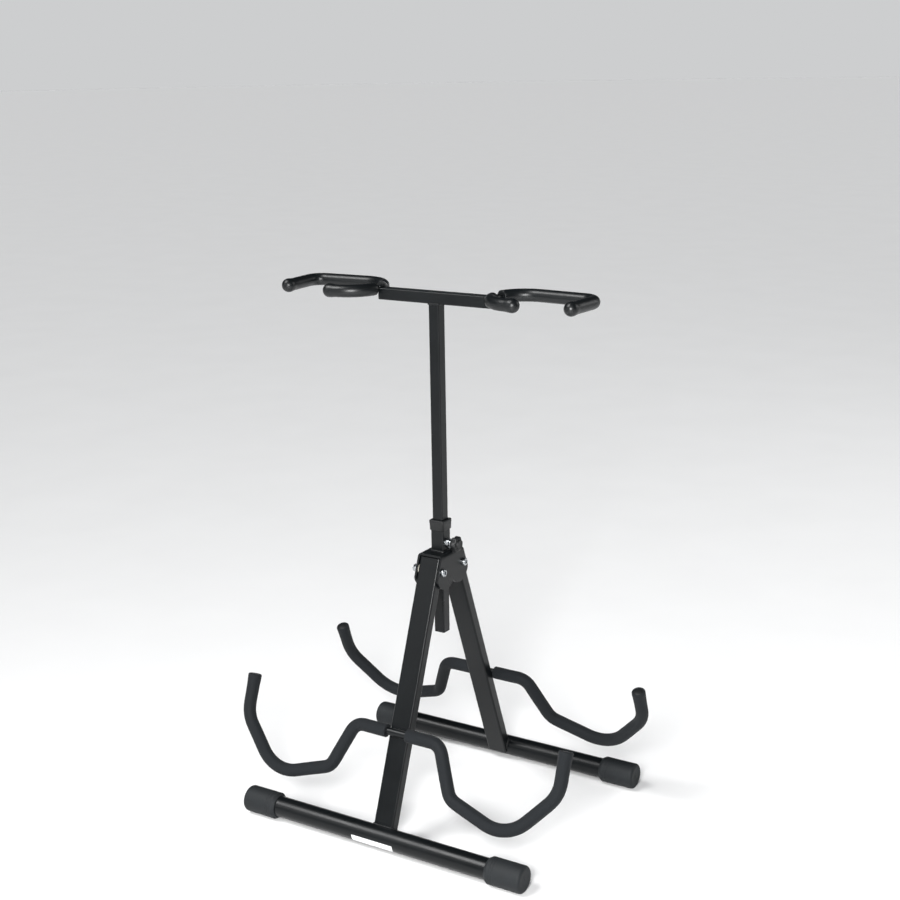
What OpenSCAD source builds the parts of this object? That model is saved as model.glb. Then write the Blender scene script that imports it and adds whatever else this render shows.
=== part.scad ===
// Two-sided A-frame guitar rack. A pair of legs hinges in a bracket under a square sleeve. The
// upright slides in the sleeve and carries a crossbar with a neck yoke at each end. Each leg
// carries a bent rod whose two padded arms cradle the lower edge of a guitar body.
// Millimetres. X runs along the floor tubes, Y from the front leg to the rear one, +Z is up.
// The origin is on the floor, under the centre of the upright.

/* [Legs] */
// Angle of each leg from the vertical when the rack stands open
leg_lean = 20.76; // [18:0.01:24]
// Width of a leg's flat tube, along the floor tube
leg_w = 30; // [26:0.5:34]
// Thickness of a leg's flat tube
leg_t = 15; // [13:0.5:17]
// Height of the two leg pivots above the floor
pivot_z = 346; // [330:1:360]
// Distance of each leg pivot from the middle plane
pivot_y = 26.5; // [26:0.5:30]
// Wall of every steel tube
wall = 1.5; // [1:0.1:2]

/* [Feet] */
// Diameter of a floor tube
floor_d = 28; // [24:0.5:30]
// Diameter of a rubber foot cap
cap_d = 35.7; // [33:0.1:38]
// Length of a rubber foot cap
cap_len = 52; // [40:1:60]
// Length of a floor tube with both of its caps
foot_span = 435; // [380:5:480]

/* [Cradles] */
// Diameter of a cradle's steel rod
cradle_rod_d = 10; // [8:0.5:11]
// Diameter of the foam on a cradle arm
cradle_foam_d = 17.6; // [16:0.2:20]
// Distance from a leg's pivot down the leg to its rod, on the front leg
front_rod_drop = 218; // [205:1:230]
// Distance from a leg's pivot down the leg to its rod, on the rear leg
rear_rod_drop = 213; // [205:1:230]
// Reach of a cradle arm, from the middle of the leg to the middle of its tip
cradle_reach = 245; // [230:1:260]
// Depth of a cradle's lowest corner below its rod
cradle_depth = 94; // [80:1:105]

/* [Upright and clamp] */
// Side of the square tubes of the upright and the crossbar
mast_w = 15.5; // [15:0.1:16]
// Side of the square sleeve around the upright
sleeve_w = 19.2; // [19:0.1:20]
// Height of the top of the sleeve
sleeve_top = 408; // [395:1:415]
// Height of the clamp screw's axis
clamp_z = 379; // [375:1:385]
// Diameter across the lobes of the clamp knob
knob_d = 23; // [20:0.5:26]
// Height of the lower end of the upright
mast_low = 252; // [245:1:290]
// Height of the middle of the crossbar
crossbar_z = 709; // [660:1:730]
// Length of the crossbar
crossbar_len = 170; // [160:1:180]

/* [Neck yokes] */
// Diameter of a yoke's steel rod
yoke_rod_d = 8; // [7:0.5:9]
// Diameter of the rubber sleeving on a yoke
yoke_sleeve_d = 16.6; // [15:0.2:18]
// Diameter of the rounded tips of the sleeving
yoke_tip_d = 18.4; // [17:0.2:20]
// Radius of a yoke's round base, from its centre to the middle of the rod
yoke_r = 41; // [38:0.5:46]
// Height of the yokes' rods
yoke_z = 715; // [712:1:716]
// Distance from the middle of the base to the hook's corner, along the long arm
yoke_reach = 125; // [110:1:135]
// Distance from the long arm to the end of the hook that closes the mouth
hook_len = 67; // [55:1:72]
// Angle that each yoke is toed in towards the front
yoke_toe = 3.5; // [0:0.5:6]

/* [Hidden] */
bend_lap = 0.5;             // how far a straight bar runs into the bend after it
bend_swell = 0.06;          // extra diameter of a bend over the straights it joins
$fn = 64;
gap = 0.3;                  // free space between pieces that move past one another
fit = 0.06;                 // radial clearance of a turning fit
skin = 0.25;                // thickness of a printed label's film

foot_flat = 0.2;            // depth of the flat that each foot cap stands on
floor_z = cap_d / 2 - foot_flat;    // height of a floor tube's axis
leg_end = 16.5;             // length of a leg above its pivot
foot_fall = pivot_z - floor_z;
// The floor tube lies a little outside the leg's centre line, so that the leg lands on its
// upper inner quarter.
foot_offset = 9.6;
foot_drop = (foot_fall + foot_offset * sin(leg_lean)) / cos(leg_lean);
floor_len = foot_span - 2 * 4;
bolt_d = 6;
bush_d = 9;

cheek_gap = leg_w / 2 + 0.8;    // inner face of a bracket cheek, from the middle
cheek_t = 3;
cheek_x = cheek_gap + cheek_t;  // outer face of a bracket cheek
bracket_top = pivot_z + 22;
plate_t = 3;
lobe_r = 22;                    // radius of the two round lobes at the foot of a cheek
lobe_y = 17;                    // middle of a lobe, from the middle plane
lobe_z = pivot_z - 4;           // middle of a lobe
top_half = 26.5;                // half length of the bracket's top plate
stop_half = 13.2;               // half thickness of the block that stops the open legs
sleeve_low = pivot_z + 4;
collar_low = sleeve_top - 11;
collar_top = sleeve_top + 3;
collar_w = sleeve_w + 3.6;

rod_y = -leg_t / 2 - cradle_rod_d / 2;   // cradle rod's axis in the leg's own frame
foam_start = leg_w / 2 + 0.5;
// Corners and bend radii of a cradle arm, in the plane of the leg's outer face: distance from
// the middle of the leg, and height above the rod's own fixing. The arm drops steeply, slopes
// gently to its lowest corner and rises again to an upright tip.
steep_share = 0.69;             // part of the depth that lies in the steep drop
rise_share = 0.27;              // depth of the corner under the upright tip, as a part
function cradle_corners(tip) = [
    [0, 0],
    [66, 0],
    [94, -steep_share * cradle_depth],
    [183, -cradle_depth],
    [cradle_reach, -rise_share * cradle_depth],
    [cradle_reach, tip]
];
cradle_bends = [0, 19, 20, 55, 45, 0];
front_tip = 31;                 // height of a front arm's tip above its rod
rear_tip = 26;                  // height of a rear arm's tip above its rod
tip_cap_d = 13;                 // diameter of the plug in the foam's end

mast_top = crossbar_z - mast_w / 2;
yoke_x = crossbar_len / 2 + yoke_rod_d / 2;   // middle of the rod at the base of a yoke
sleeve_open = 14;             // half angle of bare rod at the base, where it is welded
short_arm = 9.5;              // straight part of the short arm, past the round base
rod_short = 1.5;              // how far a rod stops short of the middle of its rounded tip
hook_r = 19;
weld_nut_h = 5.5;             // length of the nut welded to the sleeve for the clamp screw
nut_d = 13;
knob_in = sleeve_w / 2 + weld_nut_h + 2.6;   // inner face of the knob
knob_t = 13;                  // thickness of the knob
lobes = 6;                    // number of the knob's lobes

// ---- shapes that repeat ----

// A rectangle with round corners, centred, made only of squares and circles.
module round_rect(w, h, r) {
    square([w - 2 * r, h], center = true);
    square([w, h - 2 * r], center = true);
    for (x = [-1, 1], y = [-1, 1])
        translate([x * (w / 2 - r), y * (h / 2 - r)]) circle(r);
}

// A hollow rectangular tube along Z, from the origin up.
module box_tube(w, h, r, len) {
    linear_extrude(len) difference() {
        round_rect(w, h, r);
        round_rect(w - 2 * wall, h - 2 * wall, r - wall + 0.4);
    }
}

// A plug that fills a rectangular tube, with no head.
module box_plug(w, h, r, len) {
    linear_extrude(len) round_rect(w - 2 * wall, h - 2 * wall, r - wall + 0.4);
}

// A cylinder along X, from x0 to x1.
module bar_x(x0, x1, d) {
    translate([x0, 0, 0]) rotate([0, 90, 0]) cylinder(d = d, h = x1 - x0);
}

// A flat outline drawn in Y and Z, given a thickness along X from x0 to x1.
module plate_yz(x0, x1) {
    translate([x0, 0, 0]) rotate([90, 0, 90]) linear_extrude(x1 - x0) children();
}

// A straight round bar in the XY plane, from p to q.
module straight_bar(p, q, d) {
    translate([p.x, p.y, 0]) rotate([0, 0, atan2(q.y - p.y, q.x - p.x)])
        bar_x(0, norm(q - p), d);
}

// A bent round bar in the XY plane, on a circle of radius r about c, from angle a over sweep.
module arc_bar(c, r, a, sweep, d) {
    translate([c.x, c.y, 0]) rotate([0, 0, sweep < 0 ? a + sweep : a])
        rotate_extrude(angle = abs(sweep)) translate([r, 0]) circle(d = d);
}

function heading(p, q) = atan2(q.y - p.y, q.x - p.x);
function wrapped(a) = a > 180 ? a - 360 : a < -180 ? a + 360 : a;
function bend(pts, i) = wrapped(heading(pts[i], pts[i + 1]) - heading(pts[i - 1], pts[i]));
function setback(pts, rad, i) =
    i == 0 || i == len(pts) - 1 ? 0 : rad[i] * tan(abs(bend(pts, i)) / 2);
function along(p, q, s) = p + (q - p) / norm(q - p) * s;

// A round bar that follows corner points in the XY plane, with a bend radius at each corner.
module bent_bar(pts, rad, d) {
    last = len(pts) - 1;
    for (i = [0:last - 1])
        straight_bar(along(pts[i], pts[i + 1], i == 0 ? 0 : setback(pts, rad, i) - bend_lap),
                     along(pts[i + 1], pts[i],
                           i == last - 1 ? 0 : setback(pts, rad, i + 1) - bend_lap), d);
    for (i = [1:last - 1]) {
        start = along(pts[i], pts[i - 1], setback(pts, rad, i));
        turn = bend(pts, i);
        side = heading(pts[i - 1], pts[i]) + (turn > 0 ? 90 : -90);
        c = start + rad[i] * [cos(side), sin(side)];
        arc_bar(c, rad[i], side + 180, turn, d + bend_swell);
    }
}

// ---- bracket, sleeve and clamp ----

// A cheek's outline: straight down from the top plate, with two round lobes below the pivots,
// and trimmed in line with the outer faces of the open legs.
module cheek_outline() {
    cut = 80;
    difference() {
        union() {
            for (s = [-1, 1]) translate([s * lobe_y, lobe_z]) circle(lobe_r);
            translate([-top_half - cut, lobe_z]) square([2 * (top_half + cut), bracket_top - lobe_z]);
        }
        for (s = [-1, 1])
            polygon([[s * (top_half - cut * tan(leg_lean)), bracket_top + cut],
                     [s * (top_half + 3 * cut), bracket_top + cut],
                     [s * (top_half + 3 * cut), bracket_top - cut],
                     [s * (top_half + cut * tan(leg_lean)), bracket_top - cut]]);
    }
}

module hinge_bracket() {
    color([0.11, 0.11, 0.12]) difference() {
        union() {
            for (s = [-1, 1])
                plate_yz(s < 0 ? -cheek_x : cheek_gap, s < 0 ? -cheek_gap : cheek_x)
                    cheek_outline();
            translate([-cheek_x, -top_half, bracket_top - plate_t])
                cube([2 * cheek_x, 2 * top_half, plate_t]);
        }
        translate([0, 0, bracket_top - 10]) linear_extrude(20) round_rect(sleeve_w, sleeve_w, 2);
        for (s = [-1, 1]) translate([0, s * pivot_y, pivot_z]) bar_x(-30, 30, bolt_d);
    }
}

module sleeve_tube() {
    color([0.10, 0.10, 0.11]) difference() {
        translate([0, 0, sleeve_low]) linear_extrude(sleeve_top - sleeve_low) difference() {
            round_rect(sleeve_w, sleeve_w, 2);
            round_rect(mast_w + 2 * gap, mast_w + 2 * gap, 1.2);
        }
        translate([0, 0, clamp_z]) bar_x(0, 20, bolt_d + 2 * fit);
    }
}

// A block welded round the foot of the sleeve: the tops of the open legs bear on it.
module stop_block() {
    color([0.12, 0.12, 0.13]) difference() {
        translate([-leg_w / 2, -stop_half, sleeve_low])
            cube([leg_w, 2 * stop_half, bracket_top - plate_t - sleeve_low]);
        translate([0, 0, sleeve_low - 1]) linear_extrude(40) round_rect(sleeve_w, sleeve_w, 2);
    }
}

module sleeve_collar() {
    color([0.09, 0.09, 0.10]) difference() {
        translate([0, 0, collar_low]) linear_extrude(collar_top - collar_low)
            round_rect(collar_w, collar_w, 2.5);
        translate([0, 0, collar_low - 1]) linear_extrude(sleeve_top - collar_low + 1)
            round_rect(sleeve_w, sleeve_w, 2);
        translate([0, 0, sleeve_top - 1]) linear_extrude(10)
            round_rect(mast_w + 2 * gap, mast_w + 2 * gap, 1.2);
    }
}

module clamp_weld_nut() {
    color([0.62, 0.62, 0.63]) translate([0, 0, clamp_z]) difference() {
        bar_x(sleeve_w / 2, sleeve_w / 2 + weld_nut_h, nut_d);
        bar_x(0, 30, bolt_d + 2 * fit);
    }
}

module clamp_screw() {
    tip = mast_w / 2 + gap;
    color([0.70, 0.70, 0.72]) translate([0, 0, clamp_z]) {
        bar_x(tip, knob_in + 9, bolt_d);
        bar_x(knob_in - 1.6, knob_in, nut_d - 2);
    }
}

module clamp_knob() {
    lobe_d = 7;
    color([0.08, 0.08, 0.09]) translate([0, 0, clamp_z]) difference() {
        union() {
            bar_x(knob_in, knob_in + knob_t - 2, 13);
            plate_yz(knob_in + 2.5, knob_in + knob_t - 2) {
                circle(d = knob_d - 4);
                for (i = [0:lobes - 1])
                    rotate(i * 360 / lobes + 15)
                        translate([knob_d / 2 - lobe_d / 2, 0]) circle(d = lobe_d);
            }
            bar_x(knob_in + knob_t - 2, knob_in + knob_t, knob_d - 9);
        }
        bar_x(knob_in - 1, knob_in + 9, bolt_d);
    }
}

// ---- pivots ----

module pivot_bolt(s) {
    color([0.72, 0.72, 0.74]) translate([0, s * pivot_y, pivot_z]) {
        bar_x(-cheek_x - 8.5, cheek_x, bolt_d);
        difference() {
            bar_x(cheek_x, cheek_x + 4.5, 10.5);
            translate([cheek_x + 2.2, 0, 0]) rotate([0, 90, 0]) cylinder(d = 4.6, h = 5, $fn = 6);
        }
    }
}

module pivot_lock_nuts() {
    color([0.72, 0.72, 0.74]) for (s = [-1, 1])
        translate([-cheek_x, s * pivot_y, pivot_z]) difference() {
            union() {
                bar_x(-1, 0, 12);
                translate([-6, 0, 0]) rotate([0, 90, 0]) cylinder(d = 11.5, h = 5, $fn = 6);
                bar_x(-7.4, -6, 8.6);
            }
            bar_x(-8, 1, bolt_d);
        }
}

module pivot_washers() {
    color([0.85, 0.85, 0.82]) for (s = [-1, 1], side = [-1, 1])
        translate([side * cheek_gap, s * pivot_y, pivot_z]) difference() {
            bar_x(side < 0 ? 0 : -0.5, side < 0 ? 0.5 : 0, 14);
            bar_x(-2, 2, bolt_d);
        }
}

// ---- one leg, drawn for the front: s = -1, and mirrored for the rear: s = 1 ----

// The leg's own frame has its origin on the pivot and Z up the leg. Y points inwards.
module on_leg(s) {
    mirror([0, s > 0 ? 1 : 0, 0]) translate([0, -pivot_y, pivot_z]) rotate([-leg_lean, 0, 0])
        children();
}

module leg_tube(s) {
    color([0.11, 0.11, 0.12]) on_leg(s) difference() {
        translate([0, 0, -foot_drop]) box_tube(leg_w, leg_t, 2.5, foot_drop + leg_end);
        bar_x(-leg_w, leg_w, bush_d);
        translate([0, -foot_offset, -foot_drop]) bar_x(-leg_w, leg_w, floor_d);
    }
}

module leg_plug(s) {
    color([0.08, 0.08, 0.08]) on_leg(s) translate([0, 0, leg_end - 9])
        box_plug(leg_w, leg_t, 2.5, 9);
}

module pivot_bush(s) {
    color([0.80, 0.80, 0.78]) on_leg(s) difference() {
        bar_x(-leg_w / 2, leg_w / 2, bush_d);
        bar_x(-leg_w, leg_w, bolt_d + 2 * fit);
    }
}

// Places children on the axis of a floor tube, in the leg's own frame.
module on_foot(s) {
    on_leg(s) translate([0, -foot_offset, -foot_drop]) rotate([leg_lean, 0, 0]) children();
}

module floor_tube(s) {
    color([0.11, 0.11, 0.12]) on_foot(s) difference() {
        bar_x(-floor_len / 2, floor_len / 2, floor_d);
        bar_x(-floor_len, floor_len, floor_d - 2 * wall);
    }
}

// A round cap, drawn from its closed end at x = 0 towards the tube.
module cap_profile() {
    r = cap_d / 2;
    soft = 3;
    difference() {
        union() {
            square([r - soft, cap_len]);
            translate([0, soft]) square([r, cap_len - soft - 4]);
            translate([r - soft, soft]) circle(soft);
            polygon([[0, cap_len], [0, cap_len - 4], [r, cap_len - 4], [r - 2.4, cap_len]]);
        }
        translate([0, 4]) square([floor_d / 2, cap_len]);
        translate([-5, -1]) square([5, cap_len + 2]);
    }
}

module foot_cap(s, side) {
    color([0.07, 0.07, 0.08]) on_foot(s) difference() {
        translate([side * foot_span / 2, 0, 0])
            rotate([0, side * -90, 0]) rotate_extrude() cap_profile();
        translate([-foot_span, -cap_d, -floor_z - cap_d])
            cube([2 * foot_span, 2 * cap_d, cap_d]);
    }
}

module floor_tube_label() {
    color([0.90, 0.90, 0.90]) on_foot(-1) translate([-37, 0, 0]) rotate([0, 90, 0])
        rotate([0, 0, -88]) rotate_extrude(angle = 52)
            translate([floor_d / 2, 0]) square([skin, 64]);
}

// ---- cradles ----

// Places a bar that is drawn in the XY plane on the outer face of a leg: side = 1 is the arm
// on the right, side = -1 the arm on the left.
module on_cradle(s, side) {
    drop = s < 0 ? front_rod_drop : rear_rod_drop;
    on_leg(s) translate([0, rod_y, -drop]) mirror([side < 0 ? 1 : 0, 0, 0])
        rotate([90, 0, 0]) children();
}

function tip_of(s) = s < 0 ? front_tip : rear_tip;
// The same corners, with the first one moved out to where the foam starts.
function foam_corners(s) =
    [for (i = [0:5]) i == 0 ? [foam_start, 0] : cradle_corners(tip_of(s))[i]];

module cradle_rod(s) {
    color([0.16, 0.16, 0.17]) for (side = [-1, 1])
        on_cradle(s, side) bent_bar(cradle_corners(tip_of(s) - 6), cradle_bends, cradle_rod_d);
}

module cradle_foam(s, side) {
    color([0.20, 0.20, 0.21]) on_cradle(s, side) difference() {
        union() {
            bent_bar(foam_corners(s), cradle_bends, cradle_foam_d);
            // the foam swells a little round its end
            translate([cradle_reach, tip_of(s) - 12, 0]) rotate([-90, 0, 0]) rotate_extrude() {
                square([cradle_foam_d / 2 + 0.8 - 2, 12]);
                square([cradle_foam_d / 2 + 0.8, 10]);
                translate([cradle_foam_d / 2 + 0.8 - 2, 10]) circle(2);
            }
        }
        bent_bar(cradle_corners(tip_of(s) - 6), cradle_bends, cradle_rod_d);
        translate([cradle_reach, tip_of(s) - 6, 0]) rotate([-90, 0, 0])
            cylinder(d = tip_cap_d, h = 10);
    }
}

module cradle_tip_caps(s) {
    dome = 2;
    color([0.10, 0.10, 0.10]) for (side = [-1, 1])
        on_cradle(s, side) translate([cradle_reach, tip_of(s) - 6, 0]) rotate([-90, 0, 0])
            rotate_extrude() {
                square([tip_cap_d / 2, 6 - dome]);
                square([tip_cap_d / 2 - dome, 6]);
                intersection() {
                    translate([tip_cap_d / 2 - dome, 6 - dome]) circle(dome);
                    square([tip_cap_d, 6]);
                }
            }
}

// ---- upright, crossbar and yokes ----

module upright_tube() {
    color([0.11, 0.11, 0.12]) translate([0, 0, mast_low])
        box_tube(mast_w, mast_w, 1.8, mast_top - mast_low);
}

module upright_end_plug() {
    color([0.08, 0.08, 0.08]) translate([0, 0, mast_low]) box_plug(mast_w, mast_w, 1.8, 10);
}

module crossbar() {
    color([0.11, 0.11, 0.12]) difference() {
        translate([-crossbar_len / 2, 0, crossbar_z]) rotate([0, 90, 0])
            box_tube(mast_w, mast_w, 1.8, crossbar_len);
        for (side = [-1, 1]) yoke_rod(side);
    }
}

module crossbar_plug(side) {
    len = 10;
    color([0.08, 0.08, 0.08]) difference() {
        translate([side < 0 ? -crossbar_len / 2 : crossbar_len / 2 - len, 0, crossbar_z])
            rotate([0, 90, 0]) box_plug(mast_w, mast_w, 1.8, len);
        yoke_rod(side);
    }
}

// Places a yoke drawn in the XY plane with its base at the origin and its arms along +X.
module on_yoke(side) {
    mirror([side < 0 ? 1 : 0, 0, 0]) translate([yoke_x, 0, yoke_z]) rotate([0, 0, -yoke_toe])
        children();
}

centre = [yoke_r, 0];

module short_arm(d, from, end) {
    arc_bar(centre, yoke_r, 180 + from, 90 - from, d + bend_swell);
    straight_bar([yoke_r - bend_lap, -yoke_r], [yoke_r + end, -yoke_r], d);
}

module long_arm(d, from, end) {
    arc_bar(centre, yoke_r, 180 - from, from - 90, d + bend_swell);
    straight_bar([yoke_r - bend_lap, yoke_r], [yoke_reach - hook_r + bend_lap, yoke_r], d);
    arc_bar([yoke_reach - hook_r, yoke_r - hook_r], hook_r, 90, -90, d + bend_swell);
    straight_bar([yoke_reach, yoke_r - hook_r + bend_lap], [yoke_reach, yoke_r - end], d);
}

module yoke_rod(side) {
    color([0.14, 0.14, 0.15]) on_yoke(side) {
        short_arm(yoke_rod_d, 0, short_arm - rod_short);
        long_arm(yoke_rod_d, 0, hook_len - rod_short);
    }
}

// A rounded tip at p that swells out of a sleeve and points to the angle given. It is a ball
// with a small flat at its end.
module sleeve_tip(p, angle) {
    flat = 0.25;
    r = yoke_tip_d / 2;
    translate([p.x, p.y, 0]) rotate([0, 0, angle - 90]) rotate([-90, 0, 0])
        rotate_extrude() intersection() {
            circle(r);
            translate([0, -0.7 * r]) square([r, 1.7 * r - flat]);
        }
}

module yoke_short_sleeve(side) {
    color([0.10, 0.10, 0.11]) on_yoke(side) difference() {
        union() {
            short_arm(yoke_sleeve_d, sleeve_open, short_arm);
            sleeve_tip([yoke_r + short_arm, -yoke_r], 0);
        }
        short_arm(yoke_rod_d, 0, short_arm - rod_short);
    }
}

module yoke_long_sleeve(side) {
    color([0.10, 0.10, 0.11]) on_yoke(side) difference() {
        union() {
            long_arm(yoke_sleeve_d, sleeve_open, hook_len);
            sleeve_tip([yoke_reach, yoke_r - hook_len], -90);
        }
        long_arm(yoke_rod_d, 0, hook_len - rod_short);
    }
}

// ---- the nodes ----

hinge_bracket();
sleeve_tube();
stop_block();
sleeve_collar();
clamp_weld_nut();
pivot_bolt(-1);  // front_pivot_bolt
pivot_bolt(1);  // rear_pivot_bolt
pivot_lock_nuts();
pivot_washers();

leg_tube(-1);  // front_leg_tube
leg_plug(-1);  // front_leg_plug
pivot_bush(-1);  // front_pivot_bush
floor_tube(-1);  // front_floor_tube
foot_cap(-1, -1);  // front_left_foot_cap
foot_cap(-1, 1);  // front_right_foot_cap
cradle_rod(-1);  // front_cradle_rod
cradle_foam(-1, -1);  // front_left_cradle_foam
cradle_foam(-1, 1);  // front_right_cradle_foam
cradle_tip_caps(-1);  // front_cradle_tip_caps
floor_tube_label();

leg_tube(1);  // rear_leg_tube
leg_plug(1);  // rear_leg_plug
pivot_bush(1);  // rear_pivot_bush
floor_tube(1);  // rear_floor_tube
foot_cap(1, -1);  // rear_left_foot_cap
foot_cap(1, 1);  // rear_right_foot_cap
cradle_rod(1);  // rear_cradle_rod
cradle_foam(1, -1);  // rear_left_cradle_foam
cradle_foam(1, 1);  // rear_right_cradle_foam
cradle_tip_caps(1);  // rear_cradle_tip_caps

upright_tube();
upright_end_plug();
crossbar();
crossbar_plug(-1);  // left_crossbar_plug
crossbar_plug(1);  // right_crossbar_plug
yoke_rod(-1);  // left_yoke_rod
yoke_rod(1);  // right_yoke_rod
yoke_short_sleeve(-1);  // left_yoke_short_sleeve
yoke_long_sleeve(-1);  // left_yoke_long_sleeve
yoke_short_sleeve(1);  // right_yoke_short_sleeve
yoke_long_sleeve(1);  // right_yoke_long_sleeve

clamp_knob();
clamp_screw();
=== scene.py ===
# %% [markdown]
# # A two-sided guitar rack
# The rack is an A-frame. Two flat steel legs hinge in a bent bracket, a square upright slides
# in a sleeve above it, and a clamp knob holds it. Each leg carries a bent rod whose two padded
# arms cradle a guitar's body, and the crossbar's two open yokes hold the necks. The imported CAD
# model is loaded first, and every new piece is placed by its numbers.

# %% Load the frame
import math

import bmesh
import bpy
import numpy as np
from mathutils import Matrix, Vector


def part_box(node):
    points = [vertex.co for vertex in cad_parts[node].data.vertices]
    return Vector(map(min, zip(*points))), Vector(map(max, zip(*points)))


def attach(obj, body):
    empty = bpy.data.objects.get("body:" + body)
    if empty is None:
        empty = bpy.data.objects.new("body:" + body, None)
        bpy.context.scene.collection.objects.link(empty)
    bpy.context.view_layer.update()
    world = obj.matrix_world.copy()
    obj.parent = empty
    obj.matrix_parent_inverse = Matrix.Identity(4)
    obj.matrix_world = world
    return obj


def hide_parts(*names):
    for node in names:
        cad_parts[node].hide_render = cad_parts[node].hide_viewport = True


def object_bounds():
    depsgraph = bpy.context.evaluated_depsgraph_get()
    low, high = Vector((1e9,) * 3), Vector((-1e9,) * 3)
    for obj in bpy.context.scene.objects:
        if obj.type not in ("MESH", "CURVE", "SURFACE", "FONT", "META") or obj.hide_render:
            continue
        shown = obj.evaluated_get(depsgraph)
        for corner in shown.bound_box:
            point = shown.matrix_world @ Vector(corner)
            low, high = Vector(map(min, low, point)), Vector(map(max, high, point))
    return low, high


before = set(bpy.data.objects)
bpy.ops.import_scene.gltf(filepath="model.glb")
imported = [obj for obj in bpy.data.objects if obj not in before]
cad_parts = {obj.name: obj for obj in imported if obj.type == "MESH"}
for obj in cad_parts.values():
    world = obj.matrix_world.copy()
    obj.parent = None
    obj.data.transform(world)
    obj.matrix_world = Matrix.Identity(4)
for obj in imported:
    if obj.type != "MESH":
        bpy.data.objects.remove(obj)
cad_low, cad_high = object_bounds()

MM = 0.001
print("CAD box in mm:", [round(v / MM) for v in cad_high - cad_low])

# %% [markdown]
# ## The camera
# The camera stands in front and to the right, a little above the neck yokes, and looks down on
# the rack. Its place is one given point and its turn comes from three angles, because an
# azimuth, a pitch and a roll are easier to read than a rotation matrix. The lens is a short telephoto.

# %% Camera
AZIMUTH, PITCH, ROLL = (math.radians(a) for a in (32.01, 14.85, -0.93))
EYE = (1.0512, -1.6545, 1.0254)

def camera_axes(azimuth, pitch, roll):
    """The right, up and backward directions of a camera that looks down by pitch."""
    back = np.array([math.sin(azimuth) * math.cos(pitch),
                     -math.cos(azimuth) * math.cos(pitch), math.sin(pitch)])
    level = np.array([math.cos(azimuth), math.sin(azimuth), 0.0])
    upward = np.cross(back, level)
    right = level * math.cos(roll) + upward * math.sin(roll)
    up = upward * math.cos(roll) - level * math.sin(roll)
    return right, up, back

camera = bpy.data.objects.new("camera", bpy.data.cameras.new("camera"))
bpy.context.scene.collection.objects.link(camera)
turn = Matrix(np.array(camera_axes(AZIMUTH, PITCH, ROLL)).T.tolist())
camera.matrix_world = Matrix.Translation(EYE) @ turn.to_4x4()
camera.data.lens = 61.46
camera.data.sensor_width = 36
bpy.context.scene.camera = camera
print("camera at", [round(v, 3) for v in camera.location])

# %% [markdown]
# ## Colours and nodes
# A hex colour is written in sRGB, which is what a screen shows, while a shader wants linear
# light, so one function converts it. One more function adds a node: its settings are named, and
# each input is given a number, a colour or the output of another node.

# %% Helpers for materials
def linear(code):
    """An sRGB hex colour as linear red, green, blue and alpha."""
    part = np.array([int(code[i:i + 2], 16) for i in (1, 3, 5)]) / 255
    light = np.where(part <= 0.04045, part / 12.92, ((part + 0.055) / 1.055) ** 2.4)
    return (*light.tolist(), 1.0)

def add(tree, kind, inputs=None, **settings):
    """Adds a node of that kind and links or sets its inputs, by name or by place."""
    node = tree.nodes.new(kind)
    for name, value in settings.items():
        setattr(node, name, value)
    for key, value in (inputs or {}).items():
        if isinstance(value, bpy.types.NodeSocket):
            tree.links.new(value, node.inputs[key])
        else:
            node.inputs[key].default_value = value
    return node

def start_material(name, **settings):
    """A new material, its node tree, its shader and the object's own coordinates in metres."""
    material = bpy.data.materials.new(name)
    material.use_nodes = True
    tree = material.node_tree
    shader = tree.nodes["Principled BSDF"]
    for key, value in settings.items():
        shader.inputs[key.replace("_", " ")].default_value = value
    place = tree.nodes.new("ShaderNodeTexCoord").outputs["Object"]
    return material, tree, shader, place

# A noise texture's scale counts its bumps in one metre, so this turns a bump's size into it.
def per_metre(size_mm):
    return 1000 / size_mm

# %% [markdown]
# ## Powder-coated steel
# The tubes are mild steel under black powder coat. The powder is sprayed on dry and melts in an
# oven, which leaves a soft-edged skin with a faint orange peel. Its bumps are about 1.5 mm
# across, and the gloss drifts a little from place to place. Under the bumps a coarser noise
# stands for the uneven film, and fine dust lightens the colour by a hair.

# %% Powder coat
def make_powder_coat():
    """Semi-gloss black polyester powder on steel: a dark dielectric with orange peel."""
    material, tree, shader, place = start_material(
        "powder_coat_black", IOR=1.5, Specular_IOR_Level=0.25)
    peel = add(tree, "ShaderNodeTexNoise",
               {"Vector": place, "Scale": per_metre(1.6), "Detail": 2.0})
    film = add(tree, "ShaderNodeTexNoise",
               {"Vector": place, "Scale": per_metre(45), "Detail": 3.0})
    dust = add(tree, "ShaderNodeTexNoise",
               {"Vector": place, "Scale": per_metre(0.7), "Detail": 4.0, "Roughness": 0.7})
    fleck = add(tree, "ShaderNodeMapRange", {"Value": dust.outputs["Fac"], "From Min": 0.58,
                "From Max": 0.8, "To Min": 0.0, "To Max": 0.5})
    tint = add(tree, "ShaderNodeMix", {0: film.outputs["Fac"], 6: linear("#07090a"),
               7: linear("#0d1012")}, data_type="RGBA")
    colour = add(tree, "ShaderNodeMix", {0: fleck.outputs["Result"], 6: tint.outputs[2],
                 7: linear("#1c1e20")}, data_type="RGBA")
    gloss = add(tree, "ShaderNodeMapRange", {"Value": film.outputs["Fac"], "From Min": 0.3,
                "From Max": 0.7, "To Min": 0.27, "To Max": 0.37})
    bump = add(tree, "ShaderNodeBump", {"Height": peel.outputs["Fac"], "Strength": 0.22,
               "Distance": 0.25 * MM})
    tree.links.new(colour.outputs[2], shader.inputs["Base Color"])
    tree.links.new(gloss.outputs["Result"], shader.inputs["Roughness"])
    tree.links.new(bump.outputs["Normal"], shader.inputs["Normal"])
    return material

powder_coat = make_powder_coat()
print("made", powder_coat.name)
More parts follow.
